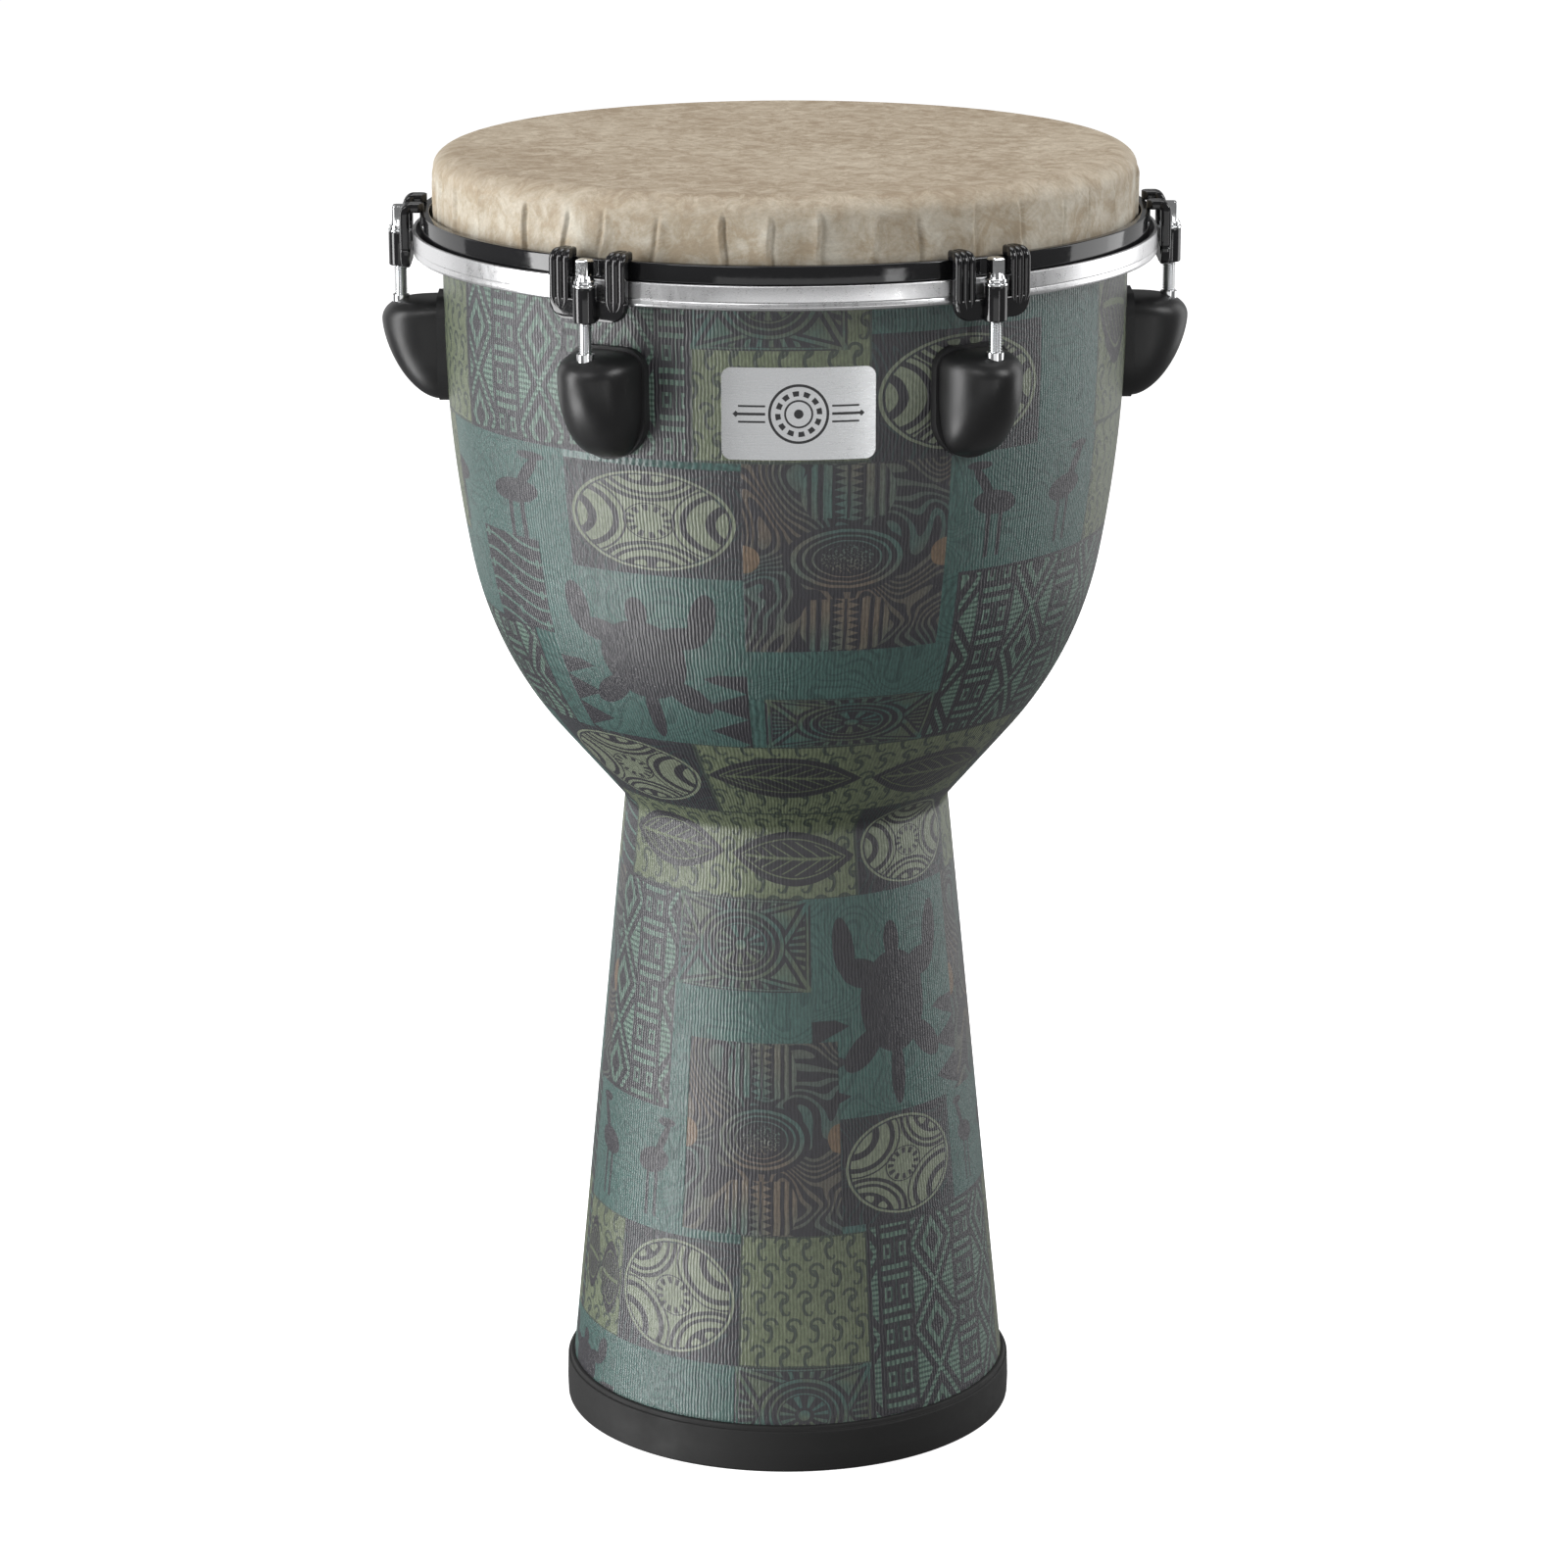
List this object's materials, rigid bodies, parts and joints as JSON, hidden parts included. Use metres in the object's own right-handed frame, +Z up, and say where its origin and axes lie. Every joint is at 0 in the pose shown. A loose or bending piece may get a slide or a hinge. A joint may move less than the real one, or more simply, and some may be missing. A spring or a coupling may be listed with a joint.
{
  "type": "djembe",
  "caption": "Key-tuned goblet hand drum: hollow waisted shell with a printed fabric skin, film head, metal hoops, claws, threaded rods and rubber foot.",
  "frame": {"origin": "centre of the rubber foot's underside", "axes": "+Z up along the drum's axis to the playing surface, -Y towards the front with the badge, +X to the right seen from the front"},
  "size_m": [0.3412, 0.314, 0.559],
  "materials": {
    "shell_board": "sealed dark laminated board, satin",
    "print_fabric": "printed ribbed cloth in green, grey and violet-black patches under a satin sealer",
    "rubber_foot": "moulded black rubber, satin",
    "head_film": "tan skin-look laminated film with fine fibres, pleated skirt",
    "hoop_aluminium": "bare rolled aluminium, satin",
    "black_enamel": "gloss black enamel",
    "rod_chrome": "bright chrome",
    "casing_black": "moulded black plastic, satin",
    "nut_steel": "zinc-plated steel",
    "badge_metal": "brushed plate with a printed abstract emblem"
  },
  "bodies": {
    "shell_body": {"bowl_shell": "shell_board", "stem_shell": "shell_board", "shell_wrap": "print_fabric", "foot_ring": "rubber_foot", "badge_plate": "badge_metal", "lug_bracket_1": "casing_black", "lug_bracket_2": "casing_black", "lug_bracket_3": "casing_black", "lug_bracket_4": "casing_black", "lug_bracket_5": "casing_black", "lug_bracket_6": "casing_black", "lug_gasket_1": "casing_black", "lug_gasket_2": "casing_black", "lug_gasket_3": "casing_black", "lug_gasket_4": "casing_black", "lug_gasket_5": "casing_black", "lug_gasket_6": "casing_black", "tension_nut_1": "nut_steel", "tension_nut_2": "nut_steel", "tension_nut_3": "nut_steel", "tension_nut_4": "nut_steel", "tension_nut_5": "nut_steel", "tension_nut_6": "nut_steel", "lug_screws": "nut_steel", "lug_washers": "nut_steel"},
    "hoop_body": {"head_film": "head_film", "flesh_hoop": "hoop_aluminium", "counter_hoop": "black_enamel", "claw_1": "black_enamel", "claw_2": "black_enamel", "claw_3": "black_enamel", "claw_4": "black_enamel", "claw_5": "black_enamel", "claw_6": "black_enamel", "rod_washer_1": "rod_chrome", "rod_washer_2": "rod_chrome", "rod_washer_3": "rod_chrome", "rod_washer_4": "rod_chrome", "rod_washer_5": "rod_chrome", "rod_washer_6": "rod_chrome"},
    "rod_1": {"tension_rod_1": "rod_chrome"},
    "rod_2": {"tension_rod_2": "rod_chrome"},
    "rod_3": {"tension_rod_3": "rod_chrome"},
    "rod_4": {"tension_rod_4": "rod_chrome"},
    "rod_5": {"tension_rod_5": "rod_chrome"},
    "rod_6": {"tension_rod_6": "rod_chrome"}
  },
  "joints": [
    {"name": "head_tune", "type": "slide", "parent": "shell_body", "child": "hoop_body", "axis": [0, 0, -1], "range_m": [-0.003, 0.005], "deforming": ["head_film"]},
    {"name": "rod_1_turn", "type": "hinge", "parent": "hoop_body", "child": "rod_1", "pos_m": [0.0812, -0.14064, 0.5], "axis": [0, 0, -1], "range_deg": [-1030, 1710]},
    {"name": "rod_2_turn", "type": "hinge", "parent": "hoop_body", "child": "rod_2", "pos_m": [0.1624, 0, 0.5], "axis": [0, 0, -1], "range_deg": [-1030, 1710]},
    {"name": "rod_3_turn", "type": "hinge", "parent": "hoop_body", "child": "rod_3", "pos_m": [0.0812, 0.14064, 0.5], "axis": [0, 0, -1], "range_deg": [-1030, 1710]},
    {"name": "rod_4_turn", "type": "hinge", "parent": "hoop_body", "child": "rod_4", "pos_m": [-0.0812, 0.14064, 0.5], "axis": [0, 0, -1], "range_deg": [-1030, 1710]},
    {"name": "rod_5_turn", "type": "hinge", "parent": "hoop_body", "child": "rod_5", "pos_m": [-0.1624, 0, 0.5], "axis": [0, 0, -1], "range_deg": [-1030, 1710]},
    {"name": "rod_6_turn", "type": "hinge", "parent": "hoop_body", "child": "rod_6", "pos_m": [-0.0812, -0.14064, 0.5], "axis": [0, 0, -1], "range_deg": [-1030, 1710]}
  ],
  "couplings": [
    {"joint": "rod_1_turn", "follows": "head_tune", "rad_per_m": 5936.9},
    {"joint": "rod_2_turn", "follows": "head_tune", "rad_per_m": 5936.9},
    {"joint": "rod_3_turn", "follows": "head_tune", "rad_per_m": 5936.9},
    {"joint": "rod_4_turn", "follows": "head_tune", "rad_per_m": 5936.9},
    {"joint": "rod_5_turn", "follows": "head_tune", "rad_per_m": 5936.9},
    {"joint": "rod_6_turn", "follows": "head_tune", "rad_per_m": 5936.9}
  ]
}
